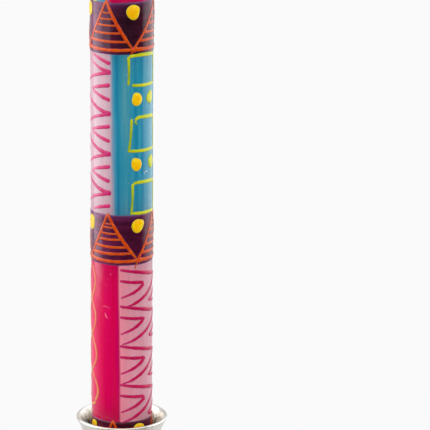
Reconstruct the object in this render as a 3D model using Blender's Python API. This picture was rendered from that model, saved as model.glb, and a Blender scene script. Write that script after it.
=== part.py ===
"""A hand-painted dinner candle standing in a turned metal candle holder.

The Z axis is the axis of the candle and of the holder, and the felt under the base rests on z = 0.
An angle round the candle is counted from -Y, the front, towards +X.
"""

import math

import bmesh
import bpy
from mathutils import Matrix, Vector

MM = 0.001
FULL_TURN = 2 * math.pi
GAP = 0.3 * MM
TURN_STEPS = 36
CURVE_STEPS = 6

# The holder, from the ground up.
BASE_RADIUS = 36 * MM
BASE_HEIGHT = 17 * MM
RIM_HEIGHT = 70 * MM
RIM_RADIUS = 16.2 * MM
SHEET = 1.2 * MM
FELT_THICKNESS = 1.5 * MM
SHELL_LIFT = 0.5 * MM
BOLT_RADIUS = 2 * MM
BOLT_BORE = BOLT_RADIUS + GAP
BOLT_END = 2.1 * MM
CUP_WALL = 1.1 * MM
CUP_FLOOR_HEIGHT = 49.6 * MM
RING_THICKNESS = 2.4 * MM
COLLAR_THICKNESS = 1.5 * MM

# The candle, from its foot up. The cup holds the foot, and the foot band's top is level with the rim.
FOOT_HEIGHT = 51.5 * MM
FOOT_RADIUS = 10.85 * MM
TOP_RADIUS = 11.15 * MM
BAND_HEIGHT = 17.9 * MM
PANEL_HEIGHTS = (58.1 * MM, 56.8 * MM, 57.5 * MM)
COAT = 0.8 * MM
PANEL_SET_BACK = 0.15 * MM
WICK_RADIUS = 1.1 * MM
WICK_BORE = WICK_RADIUS + GAP
WICK_SHOWN = 10 * MM
CANDLE_LENGTH = 4 * BAND_HEIGHT + sum(PANEL_HEIGHTS)
CANDLE_TOP = FOOT_HEIGHT + CANDLE_LENGTH

# Three panels go round each tier, teal first, then magenta and pink. Angles in degrees, lowest tier first.
TIERS = ("low", "mid", "high")
TEAL_STARTS = (116, -18, -148)
PANEL_COLOURS = ("teal", "magenta", "pink")
PANEL_SWEEP = 120
BANDS = ("foot", "lower", "upper", "top")

COLOURS = {
    "nickel": (0.62, 0.60, 0.58),
    "iron": (0.10, 0.10, 0.11),
    "steel": (0.45, 0.46, 0.48),
    "felt": (0.03, 0.05, 0.04),
    "white_wax": (0.85, 0.80, 0.74),
    "cotton": (0.80, 0.76, 0.68),
    "purple": (0.08, 0.015, 0.05),
    "teal": (0.02, 0.30, 0.42),
    "magenta": (0.75, 0.01, 0.13),
    "pink": (0.80, 0.42, 0.60),
}
METALS = ("nickel", "iron", "steel")
ROUGHNESS = {"nickel": 0.1, "iron": 0.7, "steel": 0.35, "felt": 1.0, "cotton": 0.9}
WAX_ROUGHNESS = 0.3


def clear_scene():
    for item in list(bpy.data.objects):
        bpy.data.objects.remove(item, do_unlink=True)


def finish_of(colour):
    """The material of that colour, made the first time it is asked for."""
    found = bpy.data.materials.get(colour)
    if found:
        return found
    made = bpy.data.materials.new(colour)
    made.use_nodes = True
    shader = made.node_tree.nodes["Principled BSDF"]
    shader.inputs["Base Color"].default_value = (*COLOURS[colour], 1)
    shader.inputs["Roughness"].default_value = ROUGHNESS.get(colour, WAX_ROUGHNESS)
    shader.inputs["Metallic"].default_value = float(colour in METALS)
    return made


def add_object(name, data, colour, parent):
    made = bpy.data.objects.new(name, data)
    bpy.context.scene.collection.objects.link(made)
    data.materials.append(finish_of(colour))
    made.parent = parent
    made.matrix_parent_inverse = Matrix.Translation(-parent.location)
    return made


def mesh_from(name, bm):
    """A smooth mesh of a bmesh, facing out, with its creases kept sharp."""
    bmesh.ops.recalc_face_normals(bm, faces=bm.faces)
    mesh = bpy.data.meshes.new(name)
    bm.to_mesh(mesh)
    bm.free()
    mesh.shade_smooth()
    mesh.set_sharp_from_angle(angle=math.radians(35))
    return mesh


def turned(name, outline, colour, parent, start=0.0, sweep=FULL_TURN):
    """A closed (radius, height) outline swept about Z, for the whole turn or for a stretch of it."""
    bm = bmesh.new()
    corners = [bm.verts.new((r * math.sin(start), -r * math.cos(start), z)) for r, z in outline]
    following = corners[1:] + corners[:1]
    whole = sweep == FULL_TURN
    on_axis = [Vector(corner.co[:2]).length == 0 for corner in corners]
    next_on_axis = on_axis[1:] + on_axis[:1]
    if whole:
        profile = [
            bm.edges.new(pair)
            for pair, first, second in zip(zip(corners, following), on_axis, next_on_axis)
            if not (first and second)
        ]
        steps = TURN_STEPS
    else:
        profile = [bm.faces.new(corners)]
        steps = round(TURN_STEPS * sweep / FULL_TURN)
    bmesh.ops.spin(
        bm, geom=profile, cent=(0, 0, 0), axis=(0, 0, 1), angle=sweep, steps=steps, use_merge=whole
    )
    bmesh.ops.remove_doubles(bm, verts=bm.verts, dist=GAP / 1000)
    return add_object(name, mesh_from(name, bm), colour, parent)


def bend(start, corner, end):
    """Points of a quadratic curve that leaves start towards corner and arrives at end."""
    points = []
    for step in range(CURVE_STEPS + 1):
        t = step / CURVE_STEPS
        shares = ((1 - t) ** 2, 2 * t * (1 - t), t * t)
        points.append(
            tuple(sum(s * p[axis] for s, p in zip(shares, (start, corner, end))) for axis in (0, 1))
        )
    return points


def swell(turning_points):
    """A turned outline that swings in half cosines through its widest and narrowest places."""
    points = [turning_points[0]]
    for (r0, z0), (r1, z1) in zip(turning_points, turning_points[1:]):
        for step in range(1, CURVE_STEPS + 1):
            t = step / CURVE_STEPS
            share = (1 - math.cos(math.pi * t)) / 2
            points.append((r0 + share * (r1 - r0), z0 + t * (z1 - z0)))
    return points


def in_mm(*points):
    return [(r * MM, z * MM) for r, z in points]


def cut(target, cutter):
    """Takes the cutter's shape out of the target. The cutter stays as a hidden wire guide."""
    cutter.hide_render = True
    cutter.display_type = "WIRE"
    modifier = target.modifiers.new("Cut", "BOOLEAN")
    modifier.operation = "DIFFERENCE"
    modifier.object = cutter


def add_cutter(name, bm):
    mesh = bpy.data.meshes.new(name)
    bm.to_mesh(mesh)
    bm.free()
    made = bpy.data.objects.new(name, mesh)
    bpy.context.scene.collection.objects.link(made)
    return made


def make_felt_pad(holder):
    radius = BASE_RADIUS - SHEET - 2 * GAP
    outline = [(0, 0), (radius, 0), (radius, FELT_THICKNESS), (0, FELT_THICKNESS)]
    turned("felt_pad", outline, "felt", holder)


def make_base_shell(holder):
    """A spun sheet dome: a trumpet neck, a raised bead, and a round shoulder down to the edge."""
    neck, trumpet_end, bead_foot, bead, shoulder = (r * MM for r in (7.6, 26.0, 26.3, 27.5, 29.0))
    edge_top, sill, crown = (z * MM for z in (2.6, 8.4, 9.2))
    shoulder_bend, neck_bend = in_mm((35.2, 8.0), (8.8, 9.6))
    inner_shoulder_bend, inner_neck_bend = in_mm((34.0, 6.8), (7.6, 8.4))
    inner_edge = BASE_RADIUS - SHEET - GAP / 3
    inner_top, inner_sill = BASE_HEIGHT - SHEET, sill - SHEET
    outside = [(BASE_RADIUS, SHELL_LIFT)]
    outside += bend((BASE_RADIUS, edge_top), shoulder_bend, (shoulder, sill))
    outside += [(bead, crown), (bead_foot, sill)]
    outside += bend((trumpet_end, sill), neck_bend, (neck, BASE_HEIGHT))
    inside = [(BOLT_BORE, BASE_HEIGHT), (BOLT_BORE, inner_top)]
    inside += bend((neck - SHEET, inner_top), inner_neck_bend, (trumpet_end, inner_sill))
    inside += bend((shoulder, inner_sill), inner_shoulder_bend, (inner_edge, edge_top))
    inside += [(inner_edge, SHELL_LIFT)]
    turned("base_shell", outside + inside, "nickel", holder)


def make_base_weight(holder):
    """A cast iron ballast under the dome, with a boss up to the neck and a pocket for the nut."""
    bottom, top = FELT_THICKNESS + GAP, BASE_HEIGHT - SHEET - GAP
    pocket_radius, pocket_top = 6.2 * MM, 6.4 * MM
    slope = in_mm((32, 3.8), (30, 5.3), (24, 6), (12, 8.4), (6, 11.2))
    widest, boss = slope[0][0], slope[-1][0]
    outline = [(pocket_radius, bottom), (widest, bottom), *slope, (boss, top), (BOLT_BORE, top)]
    outline += [(BOLT_BORE, pocket_top), (pocket_radius, pocket_top)]
    turned("base_weight", outline, "iron", holder)


def make_washer(holder):
    low, high, radius = 5.3 * MM, 6.1 * MM, 5.2 * MM
    outline = [(BOLT_BORE, low), (radius, low), (radius, high), (BOLT_BORE, high)]
    turned("washer", outline, "steel", holder)


def make_nut(holder):
    low, high, across_flats = 2.6 * MM, 5 * MM, 7 * MM
    bm = bmesh.new()
    corner_radius = across_flats / 2 / math.cos(math.pi / 6)
    bmesh.ops.create_cone(
        bm, cap_ends=True, segments=6, radius1=corner_radius, radius2=corner_radius, depth=high - low
    )
    bmesh.ops.translate(bm, verts=bm.verts, vec=(0, 0, (low + high) / 2))
    nut = add_object("hex_nut", mesh_from("hex_nut", bm), "steel", holder)
    drill = bmesh.new()
    drill_length = 4 * high
    bmesh.ops.create_cone(
        drill, cap_ends=True, segments=24, radius1=BOLT_BORE, radius2=BOLT_BORE, depth=drill_length
    )
    cut(nut, add_cutter("nut_drill", drill))


def make_tie_bolt(holder):
    """The bolt that holds the holder together: its slotted head is in the cup and its end is in the nut."""
    head_bottom = CUP_FLOOR_HEIGHT + GAP
    head_top = FOOT_HEIGHT - GAP
    head_radius, head_edge = 3.6 * MM, 0.6 * MM
    slot_width, slot_depth = 0.9 * MM, 0.7 * MM
    outline = [(0, BOLT_END), (BOLT_RADIUS, BOLT_END), (BOLT_RADIUS, head_bottom)]
    outline += [(head_radius, head_bottom), (head_radius, head_top - head_edge)]
    outline += [(head_radius - head_edge, head_top), (0, head_top)]
    bolt = turned("tie_bolt", outline, "steel", holder)
    slot = bmesh.new()
    bmesh.ops.create_cube(slot, size=1)
    bmesh.ops.scale(slot, verts=slot.verts, vec=(3 * head_radius, slot_width, 2 * slot_depth))
    bmesh.ops.translate(slot, verts=slot.verts, vec=(0, 0, head_top))
    cut(bolt, add_cutter("driver_slot", slot))


def rounded_ring(name, low, high, face_radius, bend_radius, holder):
    """A ring on the bolt with flat faces. Its rounded edge bends towards bend_radius."""
    edge = bend((face_radius, low), (bend_radius, (low + high) / 2), (face_radius, high))
    turned(name, [(BOLT_BORE, low), *edge, (BOLT_BORE, high)], "nickel", holder)


def make_stem(holder):
    """The ring on the base, the turned column, and the collar under the cup."""
    ring_bottom = BASE_HEIGHT + GAP
    ring_top = ring_bottom + RING_THICKNESS
    rounded_ring("stem_ring", ring_bottom, ring_top, 8.4 * MM, 10 * MM, holder)
    collar_top = CUP_FLOOR_HEIGHT - SHEET - GAP
    collar_bottom = collar_top - COLLAR_THICKNESS
    rounded_ring("cup_collar", collar_bottom, collar_top, 7.6 * MM, 8.8 * MM, holder)

    low, high = ring_top + GAP, collar_bottom - GAP
    low_flange, high_flange, flange = 6.8 * MM, 6.2 * MM, 1.2 * MM
    turning_points = in_mm((5.6, 21.6), (3.9, 25), (7.4, 31.5), (3.6, 41))
    column = [(BOLT_BORE, low), (low_flange, low), (low_flange, low + flange)]
    column += swell([*turning_points, (high_flange, high - flange)])
    column += [(high_flange, high), (BOLT_BORE, high)]
    turned("stem_column", column, "nickel", holder)


def make_candle_cup(holder):
    """A socket that fits the candle's foot and flares to a rounded rim."""
    lip, fillet = 0.6 * MM, 1.4 * MM
    socket = FOOT_RADIUS + GAP
    outer = socket + CUP_WALL
    under_bend_end, socket_top, flare_turn = (z * MM for z in (52.0, 54.0, 62.5))
    under_radius, underside = 9 * MM, CUP_FLOOR_HEIGHT - SHEET
    outline = [(BOLT_BORE, underside)]
    outline += bend((under_radius, underside), (outer, underside), (outer, under_bend_end))
    outline += bend((outer, socket_top), (outer, flare_turn), (RIM_RADIUS, RIM_HEIGHT - lip))
    for share_in, share_down in ((0.3, 0.3), (1, 0), (1.4, 0)):
        outline.append((RIM_RADIUS - share_in * lip, RIM_HEIGHT - share_down * lip))
    inner_lip = (RIM_RADIUS - 2 * lip, RIM_HEIGHT - lip / 2)
    outline += bend(inner_lip, (socket, flare_turn), (socket, socket_top))
    outline += [(socket, CUP_FLOOR_HEIGHT + fillet), (socket - fillet, CUP_FLOOR_HEIGHT)]
    outline += [(BOLT_BORE, CUP_FLOOR_HEIGHT)]
    turned("candle_cup", outline, "nickel", holder)


def candle_radius(height):
    """The candle widens a little from its foot to its top."""
    share = (height - FOOT_HEIGHT) / CANDLE_LENGTH
    return FOOT_RADIUS + share * (TOP_RADIUS - FOOT_RADIUS)


def make_wax_core(candle):
    """The plain wax candle under the coloured coats, bored for its wick, with a shallow dish on top."""
    inset = COAT + GAP
    shoulder, dish = 1 * MM, 0.9 * MM
    outline = [(WICK_BORE, FOOT_HEIGHT), (FOOT_RADIUS - inset, FOOT_HEIGHT)]
    outline += [(TOP_RADIUS - inset, CANDLE_TOP - shoulder), (TOP_RADIUS - inset - shoulder, CANDLE_TOP)]
    outline += [(WICK_BORE, CANDLE_TOP - dish)]
    turned("wax_core", outline, "white_wax", candle)


def make_wick(candle):
    """One braided cord through the whole candle, with a short free end that leans over."""
    lean = 2.2 * MM
    points = [Vector((0, 0, FOOT_HEIGHT + 2 * GAP)), Vector((0, 0, CANDLE_TOP))]
    for step in range(1, CURVE_STEPS + 1):
        t = step / CURVE_STEPS
        points.append(Vector((lean * t * t, 0, CANDLE_TOP + WICK_SHOWN * t)))
    curve = bpy.data.curves.new("wick", "CURVE")
    curve.dimensions = "3D"
    curve.bevel_depth = WICK_RADIUS
    curve.bevel_resolution = 2
    curve.use_fill_caps = True
    spline = curve.splines.new("POLY")
    spline.points.add(len(points) - 1)
    for point, place in zip(spline.points, points):
        point.co = (*place, 1)
    add_object("wick", curve, "cotton", candle)


def coat_outline(low, high, set_back):
    """The section of a coat of wax between two heights, its outer face set back from the bands."""
    return [
        (candle_radius(low) - COAT, low),
        (candle_radius(low) - set_back, low),
        (candle_radius(high) - set_back, high),
        (candle_radius(high) - COAT, high),
    ]


def make_coats(candle):
    """The painted wax: a purple band, then a tier of three panels, and so on up to the top band."""
    low = FOOT_HEIGHT
    panel_angle = math.radians(PANEL_SWEEP) - GAP / FOOT_RADIUS
    for index, band in enumerate(BANDS):
        outline = coat_outline(low + GAP / 2, low + BAND_HEIGHT - GAP / 2, 0)
        turned("band_" + band, outline, "purple", candle)
        low += BAND_HEIGHT
        if index == len(PANEL_HEIGHTS):
            break
        high = low + PANEL_HEIGHTS[index]
        outline = coat_outline(low + GAP / 2, high - GAP / 2, PANEL_SET_BACK)
        for turn, colour in enumerate(PANEL_COLOURS):
            start = math.radians(TEAL_STARTS[index] + turn * PANEL_SWEEP)
            name = f"panel_{TIERS[index]}_{colour}"
            turned(name, outline, colour, candle, start, panel_angle)
        low = high


def add_empty(name, height):
    made = bpy.data.objects.new(name, None)
    made.location = (0, 0, height)
    bpy.context.scene.collection.objects.link(made)
    return made


def main():
    clear_scene()
    holder = add_empty("holder", 0)
    candle = add_empty("candle", FOOT_HEIGHT)
    make_felt_pad(holder)
    make_base_shell(holder)
    make_base_weight(holder)
    make_washer(holder)
    make_nut(holder)
    make_tie_bolt(holder)
    make_stem(holder)
    make_candle_cup(holder)
    make_wax_core(candle)
    make_wick(candle)
    make_coats(candle)


main()
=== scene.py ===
"""The looks of a hand-painted dinner candle in a polished metal candle holder.

Angles round the candle are in degrees from the front (-Y) towards +X. Heights in the painted patterns are in
millimetres above the foot of their own band or tier.
"""
import math

import bmesh
import bpy
import numpy as np
from mathutils import Matrix, Vector


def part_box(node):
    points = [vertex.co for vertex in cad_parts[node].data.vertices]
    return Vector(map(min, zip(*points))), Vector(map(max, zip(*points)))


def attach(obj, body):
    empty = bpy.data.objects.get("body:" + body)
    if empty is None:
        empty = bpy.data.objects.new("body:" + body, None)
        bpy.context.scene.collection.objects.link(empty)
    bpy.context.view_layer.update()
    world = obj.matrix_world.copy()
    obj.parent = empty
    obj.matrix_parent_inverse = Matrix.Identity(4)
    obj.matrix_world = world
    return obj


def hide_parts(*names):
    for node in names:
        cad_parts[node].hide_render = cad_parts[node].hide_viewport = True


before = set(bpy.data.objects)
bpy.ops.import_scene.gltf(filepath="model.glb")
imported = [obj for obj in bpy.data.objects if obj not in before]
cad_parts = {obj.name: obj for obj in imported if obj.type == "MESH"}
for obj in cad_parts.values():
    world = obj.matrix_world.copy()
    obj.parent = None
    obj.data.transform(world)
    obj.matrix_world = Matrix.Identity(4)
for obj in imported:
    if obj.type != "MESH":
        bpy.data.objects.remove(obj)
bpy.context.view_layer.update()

MM = 0.001
HALF_GAP = 0.15 * MM

# The candle's layout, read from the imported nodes.
BANDS = ("foot", "lower", "upper", "top")
TIERS = ("low", "mid", "high")
TEAL_STARTS = {"low": 116, "mid": -18, "high": -148}
PANEL_SWEEP = 120
COLOURS = ("teal", "magenta", "pink")
EDGE_SLANT = {"low": 3.2, "mid": 4.6, "high": 4.0}
SET_BACK = 0.15 * MM
LIP = 0.5 * MM
WORN_EDGE = 0.55 * MM
COAT = 0.8 * MM
EDGE_GAP = 0.3 * MM
FOOT_OVERLAP = 1.15 * MM
OVERLAP = 0.55 * MM
# How far strokes may stand out at heights above the candle's foot. The socket has pressed them flat low down.
ROOM_HEIGHTS = (2.5 * MM, 7 * MM, 9 * MM)
ROOM = (0.04 * MM, 0.22 * MM, 0.6 * MM)
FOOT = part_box("wax_core")[0].z
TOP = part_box("wax_core")[1].z
FOOT_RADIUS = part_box("band_foot")[1].x
TOP_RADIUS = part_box("band_top")[1].x
MEAN_RADIUS = (FOOT_RADIUS + TOP_RADIUS) / 2
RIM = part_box("candle_cup")[1].z


def srgb(red, green, blue):
    """A colour given as 0 to 255 screen values, as the linear values that shaders use."""
    shares = (value / 255 for value in (red, green, blue))
    return (*(s / 12.92 if s <= 0.04045 else ((s + 0.055) / 1.055) ** 2.4 for s in shares), 1)


# ---- the painted surface


def band_span(band):
    low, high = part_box("band_" + band)
    return low.z - HALF_GAP, high.z + HALF_GAP


def tier_span(tier):
    low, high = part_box(f"panel_{tier}_teal")
    return low.z - HALF_GAP, high.z + HALF_GAP


def candle_radius(height):
    share = (height - FOOT) / (TOP - FOOT)
    return FOOT_RADIUS + share * (TOP_RADIUS - FOOT_RADIUS)


# The slow swells of hand-made wax: (mm high, times round the candle, mm long, phase).
SWELLS = (
    (0.035, 1, 90, 0.4),
    (0.025, 2, 47, 1.9),
    (0.018, 3, 29, 4.4),
    (0.012, 5, 19, 2.7),
    (0.008, 8, 11, 5.2),
)
# How a band's edge strays from a level line: (mm, times round the candle, share of the edge's own phase).
STRAYS = ((0.132, 1, 1.0), (0.055, 3, 2.3), (0.033, 7, 0.0))


def waviness(angle, height):
    """The unevenness of the wax, in metres."""
    return sum(
        size * MM * np.cos(turns * angle + 2 * math.pi * height / (length * MM) + phase)
        for size, turns, length, phase in SWELLS
    )


def brushed_edge(angle, phase):
    return sum(size * MM * np.sin(turns * angle + share * phase) for size, turns, share in STRAYS)


def band_edges(band, angle):
    """The heights where a band's wax starts and ends at each angle. It overlaps the panel above a little."""
    low, high = band_span(band)
    phase = 1.7 * BANDS.index(band)
    bottom = low if band == "foot" else low + EDGE_GAP + brushed_edge(angle, phase)
    overlap = FOOT_OVERLAP if band == "foot" else OVERLAP
    top = high if band == "top" else high + overlap + brushed_edge(angle, phase + 2.1)
    return bottom + 0 * angle, top + 0 * angle


def paint_radius(angle, height):
    """The radius of the painted surface. Bands stand a little proud with soft lips. The top edge is worn."""
    inside = np.zeros(np.broadcast(angle, height).shape)
    for band in BANDS:
        bottom, top = band_edges(band, angle)
        depth = np.minimum(height - bottom, top - height)
        share = np.clip(depth / LIP, 0, 1)
        inside = np.maximum(inside, share * share * (3 - 2 * share))
    up_edge = np.clip(1 - (band_span("top")[1] - height) / WORN_EDGE, 0, 1)
    worn = WORN_EDGE * (1 - np.sqrt(1 - up_edge**2))
    return candle_radius(height) - SET_BACK * (1 - inside) + waviness(angle, height) - worn


def on_candle(angle, height, lift=0.0):
    """Points at these angles in radians and heights, lifted off the painted surface."""
    radius = paint_radius(angle, height) + np.minimum(lift, np.interp(height - FOOT, ROOM_HEIGHTS, ROOM))
    return np.stack([radius * np.sin(angle), -radius * np.cos(angle), height + 0 * angle], axis=-1)


# ---- mesh helpers


def new_object(name, data):
    made = bpy.data.objects.new(name, data)
    bpy.context.scene.collection.objects.link(made)
    return made


def add_piece(name, mesh, material, body):
    """A piece of the object, which rides on a body and takes the material it is given."""
    made = new_object(name, mesh)
    mesh.materials.append(material)
    mesh.shade_smooth()
    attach(made, body)
    return made


def new_mesh(name, places, faces, sharp=40):
    mesh = bpy.data.meshes.new(name)
    mesh.from_pydata([tuple(place) for place in places], [], faces)
    mesh.validate()
    bm = bmesh.new()
    bm.from_mesh(mesh)
    bmesh.ops.recalc_face_normals(bm, faces=bm.faces)
    bm.to_mesh(mesh)
    bm.free()
    mesh.set_sharp_from_angle(angle=math.radians(sharp))
    return mesh


def sleeve_faces(rows, ring):
    """Faces of a closed tube made of rings of points, with a face over each end."""
    faces = []
    for low in range(0, (rows - 1) * ring, ring):
        for column in range(ring):
            following = (column + 1) % ring
            faces.append((low + column, low + following, low + following + ring, low + column + ring))
    faces.append(tuple(range(ring)))
    faces.append(tuple(range((rows - 1) * ring, rows * ring)))
    return faces


def store(mesh, name, kind, values):
    """Stores a value or a colour for each point of a mesh, for its material to read."""
    field = {"FLOAT": "value", "FLOAT_COLOR": "color"}[kind]
    attribute = mesh.attributes.new(name, kind, "POINT")
    attribute.data.foreach_set(field, np.asarray(values, np.float32).ravel())


class Heap:
    """Closed shapes of wax that end up in one mesh.

    thin is 1 where the wax runs out at a shape's edge. flow is 1 where the brush laid it on thickest.
    """

    def __init__(self):
        self.places = []
        self.faces = []
        self.thin = []
        self.flow = []

    def add(self, places, faces, thin, flow):
        start = len(self.places)
        self.places += [tuple(place) for place in places]
        self.faces += [tuple(start + index for index in face) for face in faces]
        self.thin += list(thin)
        self.flow += list(flow)

    def build(self, name, material):
        mesh = new_mesh(name, self.places, self.faces, sharp=80)
        store(mesh, "thin", "FLOAT", self.thin)
        store(mesh, "flow", "FLOAT", self.flow)
        return add_piece(name, mesh, material, "candle")


def smooth_path(points, step=0.25 * MM):
    """Evenly spaced points on a smooth curve through these flat points."""
    points = np.array(points, float)
    padded = np.vstack([2 * points[0] - points[1], points, 2 * points[-1] - points[-2]])
    places = [points[0]]
    for before, start, end, after in zip(padded, padded[1:], padded[2:], padded[3:]):
        for t in np.linspace(0, 1, 17)[1:]:
            bend = 2 * start + (end - before) * t
            bend = bend + (2 * before - 5 * start + 4 * end - after) * t**2
            bend = bend + (3 * start - before - 3 * end + after) * t**3
            places.append(bend / 2)
    places = np.array(places)
    along = np.concatenate([[0], np.cumsum(np.linalg.norm(np.diff(places, axis=0), axis=1))])
    wanted = np.linspace(0, along[-1], max(3, round(along[-1] / step)))
    return np.stack([np.interp(wanted, along, places[:, axis]) for axis in (0, 1)], axis=1), along[-1]


def flat(points, floor):
    """(degrees, mm above floor) pairs as flat distances in metres: round the candle, and up."""
    return [(math.radians(angle) * MEAN_RADIUS, floor + height * MM) for angle, height in points]


SECTION = 8
SINK = 0.12 * MM
FULL_FLOW = 0.7 * MM
WOBBLE = 0.06
WOBBLE_LENGTH = 3.7 * MM
BLUNT_END = 0.003
STROKE_RISE = 0.13
FINE_RISE = 0.14


def stroke(heap, points, widths, floor, rise=STROKE_RISE):
    """A raised stroke of wax with round ends, along (degrees, mm) points.

    widths in mm are spread over its length, and rise is its height as a share of its width.
    """
    path, length = smooth_path(flat(points, floor))
    along = np.linspace(0, length, len(path))
    tangent = np.gradient(path, axis=0)
    tangent /= np.linalg.norm(tangent, axis=1)[:, None]
    shares = np.linspace(0, 1, len(widths))
    half = np.interp(along / length, shares, widths) * MM / 2
    flow = np.clip(half / FULL_FLOW, 0, 1)
    half *= 1 + WOBBLE * np.sin(2 * math.pi * along / WOBBLE_LENGTH + points[0][0])
    cap = np.clip(np.minimum(along, length - along) / half, 0, 1)
    half = half * np.sqrt(np.maximum(1 - (1 - cap) ** 2, BLUNT_END))
    sweep = np.linspace(0, math.pi, SECTION + 1)
    offset = -np.cos(sweep)
    bulge = np.sin(sweep) ** 0.7
    lift = rise * 2 * half[:, None] * bulge[None, :]
    lift[:, 0] = -SINK
    lift[:, -1] = -SINK
    normal = np.stack([-tangent[:, 1], tangent[:, 0]], axis=1)
    across = path[:, None, :] + normal[:, None, :] * (offset[None, :] * half[:, None])[:, :, None]
    places = on_candle(across[..., 0] / MEAN_RADIUS, across[..., 1], lift).reshape(-1, 3)
    ring = SECTION + 1
    thin = np.broadcast_to(np.abs(offset) ** 3, (len(path), ring)).ravel()
    heap.add(places, sleeve_faces(len(path), ring), thin, np.repeat(flow, ring))


DOT_RISE = 0.3 * MM
DOT_RINGS = np.array([1, 0.99, 0.96, 0.9, 0.8, 0.66, 0.48, 0.26])
DOT_COLUMNS = 40
PEAK_REACH = 0.13
PEAK_SPREAD = 0.006


def dot(heap, angle, height, floor, wide=2.3, tall=2.6, tilt=0.3, peak=1.0):
    """A blob of wax, wide and tall in mm: an uneven dome, with a slight peak where the brush left it."""
    around = np.linspace(0, 2 * math.pi, DOT_COLUMNS, endpoint=False)
    pointed = np.exp(-((np.cos(around - peak) - 1) ** 2) / PEAK_SPREAD)
    uneven = 0.035 * np.cos(2 * around + angle) + 0.03 * np.cos(3 * around + 2 * angle)
    reach = 1 + uneven + PEAK_REACH * pointed
    east = np.cos(around) * reach * wide / 2 * MM
    north = np.sin(around) * reach * tall / 2 * MM
    east, north = (
        east * math.cos(tilt) - north * math.sin(tilt),
        east * math.sin(tilt) + north * math.cos(tilt),
    )
    middle = math.radians(angle) * MEAN_RADIUS
    across = middle + DOT_RINGS[:, None] * east[None, :]
    up = floor + height * MM + DOT_RINGS[:, None] * north[None, :]
    lift = (1 - DOT_RINGS**2) ** 0.55 * DOT_RISE
    lift[0] = -SINK
    rings = on_candle(across / MEAN_RADIUS, up, lift[:, None] + 0 * across).reshape(-1, 3)
    crest, root = (on_candle(middle / MEAN_RADIUS, floor + height * MM, rise) for rise in (DOT_RISE, -SINK))
    first, last = 0, len(rings) - DOT_COLUMNS
    faces = sleeve_faces(len(DOT_RINGS), DOT_COLUMNS)[:-2]
    for column in range(DOT_COLUMNS):
        following = (column + 1) % DOT_COLUMNS
        faces.append((last + column, last + following, len(rings)))
        faces.append((first + following, first + column, len(rings) + 1))
    thin = np.concatenate([np.repeat(DOT_RINGS**6, DOT_COLUMNS), [0, 1]])
    heap.add([*rings, crest, root], faces, thin, np.ones(len(rings) + 2))


# ---- node helpers


def new_material(name):
    material = bpy.data.materials.new(name)
    material.use_nodes = True
    return material, material.node_tree


def wire(tree, made, inputs):
    """Sets a node's inputs to values, or links them to other nodes' sockets."""
    for key, value in inputs.items():
        if isinstance(value, bpy.types.NodeSocket):
            tree.links.new(value, made.inputs[key])
        else:
            made.inputs[key].default_value = value


def node(tree, kind, inputs=None, **settings):
    made = tree.nodes.new("ShaderNode" + kind)
    for key, value in settings.items():
        setattr(made, key, value)
    wire(tree, made, inputs or {})
    return made


def finished(material, colour, roughness, normal, others):
    """Wires up a material's shader. others are its other inputs, by name."""
    tree = material.node_tree
    inputs = {"Base Color": colour, "Roughness": roughness, "Normal": normal, **others}
    wire(tree, tree.nodes["Principled BSDF"], inputs)
    return material


def wax_glow(weight, radius, scale_mm, ior=1.45):
    """Shader inputs for light that goes a little way into wax."""
    depth = {"Subsurface Radius": radius, "Subsurface Scale": scale_mm * MM}
    return {"IOR": ior, "Subsurface Weight": weight, **depth}


def mixed(tree, factor, first, second, blend="MIX"):
    """A colour between two. Sockets 0, 6 and 7 of a Mix node are its factor and its colours."""
    made = node(tree, "Mix", {0: factor, 6: first, 7: second}, data_type="RGBA", blend_type=blend)
    return made.outputs[2]


def ramped(tree, value, low, high, new_low=0.0, new_high=1.0):
    inputs = {"Value": value, "From Min": low, "From Max": high, "To Min": new_low, "To Max": new_high}
    return node(tree, "MapRange", inputs, interpolation_type="SMOOTHSTEP").outputs[0]


# How noise is drawn out: along a brush stroke up the candle or round it, along lathe lines, or not at all.
ALONG = (1, 1, 0.05)
ROUND = (0.22, 0.22, 1)
LATHED = (0.06, 0.06, 1)
EVEN = (1, 1, 1)


def noise(tree, size_mm, detail=3.0, roughness=0.55, stretch=EVEN):
    """Noise with features of about this size, drawn out along an axis where stretch is below 1."""
    coordinates = node(tree, "TexCoord").outputs["Object"]
    scaled = node(tree, "Mapping", {"Vector": coordinates, "Scale": stretch}).outputs[0]
    inputs = {"Vector": scaled, "Scale": 1 / (size_mm * MM), "Detail": detail, "Roughness": roughness}
    return node(tree, "TexNoise", inputs).outputs[0]


def bumped(tree, height, distance_mm, normal=None):
    inputs = {"Height": height, "Distance": distance_mm * MM, "Strength": 1.0}
    if normal is not None:
        inputs["Normal"] = normal
    return node(tree, "Bump", inputs).outputs[0]


# ---- materials

def stored(tree, name, output="Fac"):
    """What the mesh stores for each of its points under this name."""
    return node(tree, "Attribute", attribute_name=name).outputs[output]


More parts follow.
